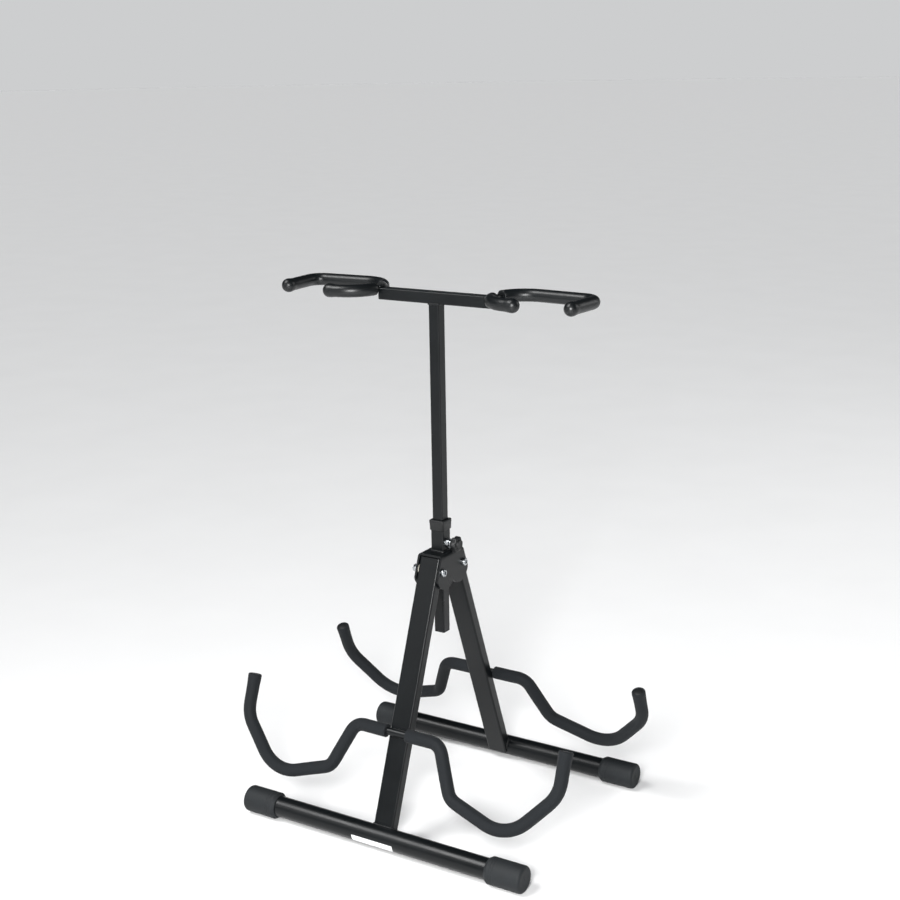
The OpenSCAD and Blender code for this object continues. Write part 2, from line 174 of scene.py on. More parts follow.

# %% [markdown]
# ## Foam rubber
# The cradle arms wear closed-cell nitrile foam, the stuff of bicycle grips. It is charcoal
# rather than black, and so rough that it has no highlight, only a pale bloom at grazing angles,
# which is the sheen. Skinned cells about 0.8 mm across pit it, drawn coarser than the real ones
# so that they show, and the hollow of each cell is painted darker as painted shade. Handling
# has polished some patches.

# %% Foam
def make_foam():
    """Charcoal closed-cell foam: matte, pitted by small cells whose hollows carry painted shade, with a
    bloom at its edges.
    """
    material, tree, shader, place = start_material(
        "nitrile_foam_charcoal", IOR=1.45, Specular_IOR_Level=0.2, Sheen_Weight=0.03,
        Sheen_Roughness=0.6)
    cells = add(tree, "ShaderNodeTexVoronoi", {"Vector": place, "Scale": per_metre(0.9)})
    fuzz = add(tree, "ShaderNodeTexNoise",
               {"Vector": place, "Scale": per_metre(1.8), "Detail": 5.0, "Roughness": 0.7})
    wear = add(tree, "ShaderNodeTexNoise",
               {"Vector": place, "Scale": per_metre(32), "Detail": 3.0})
    relief = add(tree, "ShaderNodeMath", {0: cells.outputs["Distance"], 1: 0.55,
                 2: fuzz.outputs["Fac"]}, operation="MULTIPLY_ADD")
    # Painted shade: the colour darkens towards each cell's centre, where the bump sinks into a pit.
    painted_pit_shade = add(tree, "ShaderNodeMapRange", {"Value": cells.outputs["Distance"], "From Min": 0.1,
              "From Max": 0.6, "To Min": 0.0, "To Max": 1.0})
    skin = add(tree, "ShaderNodeMix", {0: painted_pit_shade.outputs["Result"], 6: linear("#090b0c"),
               7: linear("#14171a")}, data_type="RGBA")
    colour = add(tree, "ShaderNodeMix", {0: wear.outputs["Fac"], 6: skin.outputs[2],
                 7: linear("#1a1d20")}, data_type="RGBA")
    gloss = add(tree, "ShaderNodeMapRange", {"Value": wear.outputs["Fac"], "From Min": 0.3,
                "From Max": 0.7, "To Min": 0.66, "To Max": 0.84})
    bump = add(tree, "ShaderNodeBump", {"Height": relief.outputs["Value"], "Strength": 0.45,
               "Distance": 0.35 * MM})
    tree.links.new(colour.outputs[2], shader.inputs["Base Color"])
    tree.links.new(gloss.outputs["Result"], shader.inputs["Roughness"])
    tree.links.new(bump.outputs["Normal"], shader.inputs["Normal"])
    return material

foam = make_foam()
print("made", foam.name)

# %% [markdown]
# ## Rubber and plastic
# Three more dark finishes differ mostly in gloss. The yokes wear smooth dipped sleeving, which
# keeps a soft highlight. The foot caps are moulded rubber, chalky and the palest of the three.
# The knob, the collar and the plugs are moulded nylon with a spark-eroded texture. One
# function takes the numbers that differ: two colours, the gloss and the size of the grain.

# %% Rubbers and nylon
def make_moulded(name, dark, light, gloss_low, gloss_high, grain_mm, depth_mm, ior, blotch_mm):
    """A moulded polymer: two close colours in soft blotches and a fine, even grain."""
    material, tree, shader, place = start_material(name, IOR=ior, Specular_IOR_Level=0.35)
    grain = add(tree, "ShaderNodeTexNoise",
                {"Vector": place, "Scale": per_metre(grain_mm), "Detail": 4.0})
    blotch = add(tree, "ShaderNodeTexNoise",
                 {"Vector": place, "Scale": per_metre(blotch_mm), "Detail": 3.0})
    colour = add(tree, "ShaderNodeMix", {0: blotch.outputs["Fac"], 6: linear(dark),
                 7: linear(light)}, data_type="RGBA")
    gloss = add(tree, "ShaderNodeMapRange", {"Value": grain.outputs["Fac"], "From Min": 0.3,
                "From Max": 0.7, "To Min": gloss_low, "To Max": gloss_high})
    bump = add(tree, "ShaderNodeBump", {"Height": grain.outputs["Fac"], "Strength": 0.3,
               "Distance": depth_mm * MM})
    tree.links.new(colour.outputs[2], shader.inputs["Base Color"])
    tree.links.new(gloss.outputs["Result"], shader.inputs["Roughness"])
    tree.links.new(bump.outputs["Normal"], shader.inputs["Normal"])
    return material

# Dipped PVC sleeving: nearly smooth, so its grain is shallow and its gloss is the highest.
sleeving = make_moulded("pvc_sleeving_black", "#07090a", "#0e1113", 0.32, 0.42, 2.5, 0.12, 1.53, 25)
# Moulded rubber: the bloom of wax on its surface makes it grey and matte.
cap_rubber = make_moulded("moulded_rubber_black", "#111416", "#1a1e21", 0.62, 0.78, 0.9, 0.25, 1.52, 14)
# Glass-filled nylon with an eroded mould texture.
nylon_black = make_moulded("moulded_nylon_black", "#0b0c0d", "#141617", 0.42, 0.56, 0.8, 0.15, 1.53, 9)
# Natural nylon washers and bushes, a little translucent and yellowed.
nylon_natural = make_moulded("natural_nylon", "#b9b5a6", "#cfccc0", 0.38, 0.5, 1.0, 0.1, 1.53, 6)
print("made", [m.name for m in (sleeving, cap_rubber, nylon_black, nylon_natural)])

# %% [markdown]
# ## Zinc plate and vinyl
# The bolts, nuts and clamp screw are bright zinc on steel. Zinc is a metal, so it has no
# diffuse colour at all, only a tinted mirror broken by turning marks and dull patches. The
# label is blank white vinyl, whose colour and gloss drift a little in soft clouds.

# %% Metal and label
def make_zinc():
    """Bright zinc plate: a metal whose gloss varies in small patches, with fine turning marks."""
    material, tree, shader, place = start_material("bright_zinc_plate", Metallic=1.0)
    marks = add(tree, "ShaderNodeTexWave", {"Vector": place, "Scale": per_metre(2.2),
                "Distortion": 1.5, "Detail": 2.0}, bands_direction="X")
    patch = add(tree, "ShaderNodeTexNoise",
                {"Vector": place, "Scale": per_metre(3), "Detail": 4.0})
    colour = add(tree, "ShaderNodeMix", {0: patch.outputs["Fac"], 6: linear("#8f9396"),
                 7: linear("#c4c8cb")}, data_type="RGBA")
    gloss = add(tree, "ShaderNodeMapRange", {"Value": patch.outputs["Fac"], "From Min": 0.3,
                "From Max": 0.7, "To Min": 0.16, "To Max": 0.34})
    bump = add(tree, "ShaderNodeBump", {"Height": marks.outputs["Fac"], "Strength": 0.08,
               "Distance": 0.05 * MM})
    tree.links.new(colour.outputs[2], shader.inputs["Base Color"])
    tree.links.new(gloss.outputs["Result"], shader.inputs["Roughness"])
    tree.links.new(bump.outputs["Normal"], shader.inputs["Normal"])
    return material

def make_vinyl():
    """White vinyl film: a faint yellowing in soft clouds and a slight ripple from the glue."""
    material, tree, shader, place = start_material("white_vinyl_film", IOR=1.5)
    cloud = add(tree, "ShaderNodeTexNoise",
                {"Vector": place, "Scale": per_metre(9), "Detail": 4.0})
    ripple = add(tree, "ShaderNodeTexNoise",
                 {"Vector": place, "Scale": per_metre(5), "Detail": 1.0})
    colour = add(tree, "ShaderNodeMix", {0: cloud.outputs["Fac"], 6: linear("#c9cbcb"),
                 7: linear("#eceded")}, data_type="RGBA")
    gloss = add(tree, "ShaderNodeMapRange", {"Value": cloud.outputs["Fac"], "From Min": 0.3,
                "From Max": 0.7, "To Min": 0.28, "To Max": 0.4})
    bump = add(tree, "ShaderNodeBump", {"Height": ripple.outputs["Fac"], "Strength": 0.15,
               "Distance": 0.2 * MM})
    tree.links.new(colour.outputs[2], shader.inputs["Base Color"])
    tree.links.new(gloss.outputs["Result"], shader.inputs["Roughness"])
    tree.links.new(bump.outputs["Normal"], shader.inputs["Normal"])
    return material

zinc, vinyl = make_zinc(), make_vinyl()
print("made", zinc.name, "and", vinyl.name)

# %% [markdown]
# ## Surfaces from a grid
# Every new piece is a grid of points: one parameter runs along the piece and the other round
# it. Working the points out as one array is quick, and the faces follow from the grid's size
# alone. A row whose points all coincide is a pole, and merging doubles closes it.

# %% Grids to meshes
def grid_faces(rows, columns, wrap_rows, wrap_columns):
    """Four corners of each face of a grid whose points are numbered row by row."""
    i = np.arange(rows if wrap_rows else rows - 1)[:, None]
    j = np.arange(columns if wrap_columns else columns - 1)[None, :]
    i2, j2 = (i + 1) % rows, (j + 1) % columns
    corners = [i * columns + j, i * columns + j2, i2 * columns + j2, i2 * columns + j]
    return np.stack(np.broadcast_arrays(*corners), -1).reshape(-1, 4)

def make_piece(name, grids, material, body, stands_for=(), sharp_deg=38):
    """One mesh from grids of (points, wrap_rows, wrap_columns), which rides on a body."""
    points, faces, count = [], [], 0
    for grid, wrap_rows, wrap_columns in grids:
        rows, columns = grid.shape[:2]
        points.append(grid.reshape(-1, 3))
        faces.append(grid_faces(rows, columns, wrap_rows, wrap_columns) + count)
        count += rows * columns
    mesh = bpy.data.meshes.new(name)
    mesh.from_pydata(np.concatenate(points), [], np.concatenate(faces).tolist())
    shell = bmesh.new()
    shell.from_mesh(mesh)
    bmesh.ops.remove_doubles(shell, verts=shell.verts, dist=0.004 * MM)
    bmesh.ops.recalc_face_normals(shell, faces=shell.faces)
    shell.to_mesh(mesh)
    shell.free()
    mesh.shade_smooth()
    mesh.set_sharp_from_angle(angle=math.radians(sharp_deg))
    mesh.materials.append(material)
    piece = bpy.data.objects.new(name, mesh)
    bpy.context.scene.collection.objects.link(piece)
    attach(piece, body)
    if stands_for:
        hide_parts(*stands_for)
    print(f"{name}: {len(mesh.polygons)} faces")
    return piece

# %% [markdown]
# ## Paths with bends
# A bent rod is straight runs joined by arcs. A path holds finely spaced points in its own flat
# plane, and gives a place and a direction at any distance along it, and even past its ends, so
# a rounded tip can be drawn there. A section is then carried along it.

# %% Bent paths and sweeps
STEP = 1.2 * MM

def rounded_path(corners, radii):
    """Points every STEP along straight runs whose corners are arcs of the given radii.

    An arc of radius r that turns by t starts r * tan(t / 2) before its corner.
    """
    corners = np.array(corners, float)
    legs = np.diff(corners, axis=0)
    runs = legs / np.linalg.norm(legs, axis=1)[:, None]
    points = [corners[:1]]
    for k, radius in enumerate(radii, start=1):
        before, after = runs[k - 1], runs[k]
        bend = math.atan2(before[0] * after[1] - before[1] * after[0], before @ after)
        start = corners[k] - before * radius * math.tan(abs(bend) / 2)
        side = math.copysign(1, bend)
        t = np.linspace(0, abs(bend), max(6, int(radius * abs(bend) / STEP)))[:, None]
        inward = side * np.array([-before[1], before[0]])
        points.append(start + radius * (np.sin(t) * before + (1 - np.cos(t)) * inward))
    points.append(corners[-1:])
    return evenly(np.concatenate(points))

def evenly(points):
    """The same line with a point every STEP."""
    lengths = np.linalg.norm(np.diff(points, axis=0), axis=1)
    s = np.concatenate([[0], np.cumsum(lengths)])
    keep = np.concatenate([[True], np.diff(s) > 1e-9])
    s, points = s[keep], points[keep]
    even = np.linspace(0, s[-1], int(s[-1] / STEP) + 1)
    return np.stack([np.interp(even, s, points[:, k]) for k in range(points.shape[1])], 1)

def path_length(path):
    return float(np.linalg.norm(np.diff(path, axis=0), axis=1).sum())

def along(path, s):
    """Places and directions at distances s along a path, running straight on past its ends."""
    total = path_length(path)
    grid = np.linspace(0, total, len(path))
    slope = np.gradient(path, grid, axis=0)
    slope /= np.linalg.norm(slope, axis=1)[:, None]
    inside = np.clip(s, 0, total)
    place = np.stack([np.interp(inside, grid, path[:, k]) for k in range(path.shape[1])], 1)
    heading = np.stack([np.interp(inside, grid, slope[:, k]) for k in range(path.shape[1])], 1)
    heading /= np.linalg.norm(heading, axis=1)[:, None]
    return place + (s - inside)[:, None] * heading, heading

def curvature(path, s):
    """Turn to the left per metre at distances s, smoothed over a few millimetres."""
    grid = np.linspace(0, path_length(path), len(path))
    slope = np.gradient(path, grid, axis=0)
    angle = np.unwrap(np.arctan2(slope[:, 1], slope[:, 0]))
    turn_rate = np.convolve(np.gradient(angle, grid), np.ones(5) / 5, mode="same")
    return np.interp(s, grid, turn_rate)

def sweep(path, s, radius, sides=40):
    """Rings round a flat path: at s and angle a, the path's point moved out by the radius.

    The ring's first axis is the path's left side and its second is the plane's normal. The
    radius is one number for each ring, or one for each point of each ring.
    """
    a = np.linspace(0, 2 * math.pi, sides, endpoint=False)
    place, heading = along(path, s)
    left = np.stack([-heading[:, 1], heading[:, 0]], 1)
    radius = np.broadcast_to(np.array(radius).reshape(len(s), -1), (len(s), sides))
    flat = place[:, None, :] + (radius * np.cos(a))[..., None] * left[:, None, :]
    return np.concatenate([flat, (radius * np.sin(a))[..., None]], -1)

example = rounded_path([(0, 0), (0.1, 0), (0.1, 0.1)], [0.03])
print("a path of", len(example), "points is", round(path_length(example) / MM, 1), "mm long")

# %% [markdown]
# ## Profiles
# The end of a sleeve is a small quarter round, not a sharp rim. A profile is a list of
# distances along a piece with a radius at each, and `corner` gives the points of one quarter
# round of it, from one direction to the next.

# %% Corners of a profile
def corner(x, r, size, begin_deg, end_deg, points=6):
    """Points (x, r) on an arc of that size about (x, r), from one angle to another."""
    t = np.radians(np.linspace(begin_deg, end_deg, points))
    return np.stack([x + size * np.cos(t), r + size * np.sin(t)], 1)

def run(x0, x1, r, step=2 * MM):
    """Evenly spaced points at one radius, from x0 to x1."""
    count = max(2, int(abs(x1 - x0) / step))
    return np.stack([np.linspace(x0, x1, count), np.full(count, r)], 1)

print("a quarter round:", np.round(corner(0, 0, 1, 0, 90, 3), 2).tolist())

# %% [markdown]
# ## The rack's own directions
# A leg leans by 21 degrees, so its pieces are drawn in the leg's own frame, with the pivot at
# the origin and Z up the leg, and then turned into place. The rear leg is the mirror image of
# the front one. A cradle arm lies in the plane of its leg's outer face.

# %% Sizes and places
LEAN = math.radians(20.76)
PIVOT_Y, PIVOT_Z = 26.5 * MM, 346 * MM
LEG_W, LEG_T = 30 * MM, 15 * MM
FLOOR_R = 14 * MM
CAP_R, CAP_LEN, FOOT_SPAN = 17.85 * MM, 52 * MM, 435 * MM
FOOT_OUT = 9.6 * MM
FOOT_FLAT = 0.2 * MM
FOOT_DROP = (PIVOT_Z - CAP_R + FOOT_FLAT + FOOT_OUT * math.sin(LEAN)) / math.cos(LEAN)
ROD_R, FOAM_R = 5 * MM, 8.8 * MM
ROD_DROP = {"front": 218 * MM, "rear": 213 * MM}
TIP_RISE = {"front": 31 * MM, "rear": 26 * MM}
REACH, DEPTH = 245 * MM, 94 * MM
SIDES = {"left": -1, "right": 1}

def from_leg(points, end):
    """Points in a leg's own frame, moved into the rack's frame."""
    x, y, z = points[..., 0], points[..., 1], points[..., 2]
    y, z = (y * math.cos(LEAN) + z * math.sin(LEAN) - PIVOT_Y,
            z * math.cos(LEAN) - y * math.sin(LEAN) + PIVOT_Z)
    return np.stack([x, y if end == "front" else -y, z], -1)

def from_cradle(points, end, side):
    """Points drawn in a cradle arm's plane, moved to its leg's outer face."""
    x, y, z = points[..., 0], points[..., 1], points[..., 2]
    on_leg = [SIDES[side] * x, -LEG_T / 2 - ROD_R - z, y - ROD_DROP[end]]
    return from_leg(np.stack(on_leg, -1), end)

def cradle_path(end, start):
    """The arm's bent path from a start beside the leg to its upright tip."""
    corners = [(start, 0), (66 * MM, 0), (94 * MM, -0.69 * DEPTH), (183 * MM, -DEPTH),
               (REACH, -0.27 * DEPTH), (REACH, TIP_RISE[end])]
    return rounded_path(corners, [19 * MM, 20 * MM, 55 * MM, 45 * MM])

for end in ROD_DROP:
    tip = from_cradle(np.array([REACH, TIP_RISE[end], 0]), end, "right")
    print(end, "right cradle tip at", np.round(tip / MM, 1))

# %% [markdown]
# ## Cradle foam
# Each arm is a foam tube pushed over the rod. A foam tube isn't a perfect cylinder: it is
# squeezed into small creases on the inside of a tight bend, pulled thin on the outside, and it
# swells a little at its cut end, where it was rolled over the rod. The radius is therefore a
# function of both parameters, the distance along the arm and the angle round it. The shell
# closes on itself: out along the skin and back along the bore.

# %% Foam sleeves
SWELL, CAP_HOLE, RECESS = 0.75 * MM, 6.5 * MM, 2.2 * MM
CREASE_PITCH = 3.4 * MM

def foam_skin_radius(path, s, sides, seed):
    """The foam's radius at each distance and angle.

    It is the plain radius, plus the swelling at the tip, slow waves under 0.15 mm, and creases
    that deepen with the bend's curvature on its inner side.
    """
    rng = np.random.default_rng(seed)
    a = np.linspace(0, 2 * math.pi, sides, endpoint=False)[None, :]
    d = s[:, None]
    to_tip = (path_length(path) - d) / (13 * MM)
    swell = SWELL * np.exp(-to_tip ** 2)
    phase = rng.uniform(0, 2 * math.pi, 4)
    waves = 0.07 * MM * (np.sin(d / (9 * MM) + phase[0]) * np.cos(a + phase[1])
                         + np.sin(d / (23 * MM) + phase[2]) * np.cos(2 * a + phase[3]))
    bend = np.clip(curvature(path, s) * 20 * MM, -1, 1)[:, None]
    inner = np.clip(np.cos(a) * np.sign(bend), 0, 1) ** 1.5
    outer = np.clip(-np.cos(a) * np.sign(bend), 0, 1)
    crease = (0.5 - 0.5 * np.cos(2 * math.pi * d / CREASE_PITCH)) ** 3
    squeeze = np.abs(bend) * (inner * (0.15 - 0.62 * crease) - 0.28 * outer) * MM
    return FOAM_R + swell + waves + squeeze

def make_foam_sleeve(end, side, seed):
    """A closed foam tube on one arm, with rounded rims and a recess for the tip's plug."""
    sides = 40
    path = cradle_path(end, LEG_W / 2 + 0.5 * MM)
    total = path_length(path)
    rim, tip_rim = 1.0 * MM, 2.2 * MM
    lip = corner(rim, 0, rim, 180, 90)
    skin_s = np.arange(rim, total - tip_rim, STEP / 2)
    tip_lip = corner(total - tip_rim, 0, tip_rim, 90, 0, 8)
    skin = foam_skin_radius(path, skin_s, sides, seed)
    start = skin[:1] - rim + lip[:, 1:]
    finish = skin[-1:] - tip_rim + tip_lip[:, 1:]
    hole = np.array([[total, CAP_HOLE + 0.8 * MM], [total - 0.3 * MM, CAP_HOLE],
                     [total - RECESS, CAP_HOLE], [total - 6 * MM, ROD_R]])
    bore_s = np.arange(total - 6 * MM, 0, -4 * STEP)
    inside = np.concatenate([hole, np.stack([bore_s, np.full(len(bore_s), ROD_R)], 1),
                             [[0, ROD_R]]])
    s = np.concatenate([lip[:, 0], skin_s, tip_lip[:, 0], inside[:, 0]])
    radius = np.concatenate([start, skin, finish, np.repeat(inside[:, 1:], sides, 1)])
    rings = from_cradle(sweep(path, s, radius, sides), end, side)
    node = f"{end}_{side}_cradle_foam"
    piece = make_piece(f"foam_{end}_{side}", [(rings, True, True)], foam, f"{end}_leg", [node], 60)

for seed, (end, side) in enumerate((e, s) for e in ROD_DROP for s in SIDES):
    make_foam_sleeve(end, side, seed + 11)

# %% [markdown]
# ## Tip plugs
# A small moulded disc closes the end of each foam tube. It has a low dome and sits in the
# recess, so that the foam's rim stands round it as a darker ring. It is a profile turned about
# the arm's own end.

# %% Plugs in the cradle tips
def make_tip_plugs(end):
    """Both plugs of one rod: a rounded disc with a flat dome, turned about the arm."""
    grids = []
    for side in SIDES:
        path = cradle_path(end, LEG_W / 2 + 0.5 * MM)
        total = path_length(path)
        dome = np.linspace(0, 1, 7)[::-1, None]
        top = np.concatenate([total - 0.1 * MM - 0.55 * MM * dome ** 2, dome * 5.3 * MM], 1)
        shape = np.concatenate([[[total - 6 * MM, 0]], [[total - 6 * MM, 5.9 * MM]],
                                corner(total - 1.6 * MM, 5.3 * MM, 0.9 * MM, 90, 20), top])
        rings = sweep(path, shape[:, 0], shape[:, 1], 36)
        grids.append((from_cradle(rings, end, side), False, True))
    node = f"{end}_cradle_tip_caps"
    piece = make_piece(f"tip_plugs_{end}", grids, nylon_black, f"{end}_leg", [node])

for end in ROD_DROP:
    make_tip_plugs(end)

# %% [markdown]
# ## Foot caps
# Rubber caps are pushed over the floor tube's ends, and the rack stands on them. They are
# moulded with a steep lip towards the tube, two shallow grip rings, a well-rounded outer edge
# and a faintly dished face with the round mark of the mould's gate. All of it is one profile
# turned about the tube, and the narrow flat that it stands on is cut afterwards.

# %% Foot caps
def make_foot_cap(end, side):
    """A cap turned about the floor tube, from the bore's mouth round to the closed end."""
    edge = 4.0 * MM
    groove = 0.35 * MM
    outer = [[CAP_LEN, FLOOR_R], [CAP_LEN, FLOOR_R + 1.0 * MM]]
    outer += corner(CAP_LEN - 0.8 * MM, FLOOR_R + 1.0 * MM, 0.8 * MM, 0, 50, 4).tolist()
    outer += corner(CAP_LEN - 4.2 * MM, CAP_R - 1.2 * MM, 1.2 * MM, 40, 90, 5).tolist()
    for x in (CAP_LEN - 9 * MM, CAP_LEN - 13 * MM):
        outer += [[x + 0.9 * MM, CAP_R], [x + 0.4 * MM, CAP_R - groove],
                  [x - 0.4 * MM, CAP_R - groove], [x - 0.9 * MM, CAP_R]]
    outer += run(CAP_LEN - 15 * MM, edge, CAP_R, 5 * MM).tolist()
    outer += corner(edge, CAP_R - edge, edge, 90, 180, 12).tolist()
    face = [[0.0, 11.0 * MM], [0.25 * MM, 9.8 * MM], [0.35 * MM, 6 * MM], [0.35 * MM, 2.2 * MM],
            [0.15 * MM, 1.9 * MM], [0.15 * MM, 0.0]]
    bore = [[4 * MM, 0.0], [4 * MM, FLOOR_R]]
    shape = np.array(bore + outer + face)
    a = np.linspace(0, 2 * math.pi, 96, endpoint=False)
    x = SIDES[side] * (FOOT_SPAN / 2 - shape[:, 0])
    rings = np.stack(np.broadcast_arrays(x[:, None], shape[:, 1:] * np.cos(a),
                                         shape[:, 1:] * np.sin(a)), -1)
    low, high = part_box(f"{end}_floor_tube")
    rings = rings + np.array([0, (low.y + high.y) / 2, (low.z + high.z) / 2])
    rings[..., 2] = np.maximum(rings[..., 2], cad_low.z)   # the flat that it stands on
    piece = make_piece(f"cap_{end}_{side}", [(rings, False, True)], cap_rubber, f"{end}_leg",
                       [f"{end}_{side}_foot_cap"], 32)

for end in ROD_DROP:
    for side in SIDES:
        make_foot_cap(end, side)

# %% [markdown]
# ## Neck yokes
# Each yoke is a rod bent to a U that opens outwards. The short arm stops in front, and the long
# arm turns a corner and closes the mouth like a hook. Both wear a dipped sleeve that ends in a
# bulb. The path is drawn flat, with the middle of the U's base at the origin, and is then toed
# in and placed at the crossbar's end. The bulb is the profile's last part: the radius grows
# smoothly and then closes in a quarter round.

# %% Yoke sleeves
SLEEVE_R, BULB_R, YOKE_ROD_R = 8.3 * MM, 9.2 * MM, 4 * MM
YOKE_R, YOKE_REACH, HOOK, HOOK_R = 41 * MM, 125 * MM, 67 * MM, 19 * MM
SHORT_ARM = 9.5 * MM
BARE = math.radians(14)
TOE_IN = math.radians(3.5)
YOKE_X, YOKE_Z = 89 * MM, 715 * MM

def from_yoke(points, side):
    """Points drawn in a yoke's plane, toed in and moved to the crossbar's end."""
    x, y, z = points[..., 0], points[..., 1], points[..., 2]
    x, y = (x * math.cos(TOE_IN) + y * math.sin(TOE_IN) + YOKE_X,
            y * math.cos(TOE_IN) - x * math.sin(TOE_IN))
    return np.stack([SIDES[side] * x, y, z + YOKE_Z], -1)

def yoke_path(arm):
    """The middle line under one sleeve: part of the round base, then the straight arm."""
    t = np.linspace(BARE, math.pi / 2, 60)
    way = 1 if arm == "long" else -1
    base = np.stack([YOKE_R - YOKE_R * np.cos(t), way * YOKE_R * np.sin(t)], 1)
    if arm == "short":
        rest = np.array([[YOKE_R + SHORT_ARM, -YOKE_R]])
    else:
        corners = [(YOKE_R, YOKE_R), (YOKE_REACH, YOKE_R), (YOKE_REACH, YOKE_R - HOOK)]
        rest = rounded_path(corners, [HOOK_R])
    return evenly(np.concatenate([base, rest]))

def make_yoke_sleeve(arm, side):
    """A closed sleeve: rim, skin, bulb and back along the bore."""
    path = yoke_path(arm)
    total = path_length(path)
    rim = 0.9 * MM
    lip = corner(rim, SLEEVE_R - rim, rim, 180, 90)
    s = np.arange(rim, total - 0.2 * BULB_R, STEP)
    to_tip = np.clip((total - s) / (11 * MM), 0, 1)
    skin = np.stack([s, SLEEVE_R + (BULB_R - SLEEVE_R) * (1 + np.cos(math.pi * to_tip)) / 2], 1)
    ball = corner(total, 0, BULB_R, 84, 0, 14)
    bore = run(total - 2 * MM, 0, YOKE_ROD_R, 4 * MM)
    shape = np.concatenate([lip, skin, ball, [[total - 2 * MM, 0]], bore])
    rings = from_yoke(sweep(path, shape[:, 0], np.maximum(shape[:, 1], 0)), side)
    node = f"{side}_yoke_{arm}_sleeve"
    name = f"sleeving_{side}_{arm}"
    piece = make_piece(name, [(rings, True, True)], sleeving, "upright", [node], 50)

for side in SIDES:
    for arm in ("short", "long"):
        make_yoke_sleeve(arm, side)

# %% [markdown]
# ## The hinge bracket
# The bracket is one steel plate bent into a channel that holds both legs and carries the
# sleeve. As a surface it is a strip: one parameter runs up a cheek, round a bend, across the
# top and down the other cheek, and the other runs from front to back. The strip's width follows
# the legs' slope, and its two ends follow a pair of round lobes. Solidify gives the plate its
# 3 mm and Bevel breaks the cut edges, which is what catches the light.

# %% Bracket
PLATE = 3 * MM
CHEEK_X = LEG_W / 2 + 0.8 * MM + PLATE
TOP_Z, TOP_HALF = PIVOT_Z + 22 * MM, 26.5 * MM
LOBE_R, LOBE_Y, LOBE_Z = 22 * MM, 17 * MM, PIVOT_Z - 4 * MM
BEND_R = 4 * MM
HOLE = 9.6 * MM

def slope_y(z):
    """How far the bracket reaches from its middle at a height: in line with the open legs."""
    return TOP_HALF + (TOP_Z - z) * math.tan(LEAN)

def lower_edge(v):
    """The lobes: v from -1 to 1 walks round one, over the notch between them and the other."""
    last = math.acos(-LOBE_Y / LOBE_R)
    angle = (1 - np.abs(v)) * last
    y = LOBE_Y + LOBE_R * np.cos(angle)
    z = LOBE_Z - LOBE_R * np.sin(angle)
    return np.sign(v) * np.minimum(y, slope_y(z)), z

def make_bracket():
    """The strip's points: cheek, bend, top, bend, cheek, with the sleeve's hole left open."""
    v = np.unique(np.concatenate([np.linspace(-1, 1, 49), [-HOLE / TOP_HALF, HOLE / TOP_HALF]]))
    y_low, z_low = lower_edge(v)
    y_high = v * slope_y(TOP_Z - BEND_R)
    w = np.linspace(0, 1, 12)[:, None]
    cheek = np.stack([np.full((12, len(v)), CHEEK_X), y_low + w * (y_high - y_low),
                      z_low + w * (TOP_Z - BEND_R - z_low)], -1)
    t = np.radians(np.linspace(0, 90, 8))[1:, None]
    z_bend = TOP_Z - BEND_R + BEND_R * np.sin(t)
    bend = np.stack(np.broadcast_arrays(CHEEK_X - BEND_R + BEND_R * np.cos(t),
                                        v * slope_y(z_bend), z_bend), -1)
    x = np.linspace(HOLE, -HOLE, 9)[:, None]
    top = np.stack(np.broadcast_arrays(x, v * TOP_HALF, np.full_like(x, TOP_Z)), -1)
    half = np.concatenate([cheek, bend])
    strip = np.concatenate([half, top, half[::-1] * [-1, 1, 1]])
    piece = make_piece("bracket", [(strip, False, False)], powder_coat, "bracket",
                       ["hinge_bracket"], 60)
    shell = bmesh.new()
    shell.from_mesh(piece.data)
    middles = [f for f in shell.faces if f.calc_center_median().z > TOP_Z - 0.1 * MM]
    inside = [f for f in middles if max(abs(f.calc_center_median().x),
                                        abs(f.calc_center_median().y)) < HOLE]
    upside_down = middles[0].normal.z < 0
    bmesh.ops.delete(shell, geom=inside, context="FACES")
    if upside_down:
        bmesh.ops.reverse_faces(shell, faces=shell.faces)
    shell.to_mesh(piece.data)
    shell.free()
    wall = piece.modifiers.new("wall", "SOLIDIFY")
    wall.thickness, wall.offset, wall.use_even_offset = PLATE, -1, True
    edge = piece.modifiers.new("broken_edge", "BEVEL")
    edge.width, edge.segments, edge.angle_limit = 0.9 * MM, 3, math.radians(50)
    edge.harden_normals = True

make_bracket()

# %% [markdown]
# ## The sleeve's collar
# A moulded collar caps the sleeve and guides the upright. Its section is a rounded square, so
# each row of the grid is one, and the rows run up the outside, over the top edge and down the
# inside. A drawn-in waist under the top and a soft upper edge are what the light picks out.

# %% Rounded squares and the collar
def rounded_square(half, radius, points=7):
    """One loop round a square with arcs at its corners."""
    t = np.radians(np.linspace(0, 90, points))
    arc = np.stack([half - radius + radius * np.cos(t), half - radius + radius * np.sin(t)], 1)
    turns = [arc, arc[::-1] * [-1, 1], arc * [-1, -1], arc[::-1] * [1, -1]]
    return np.concatenate(turns)

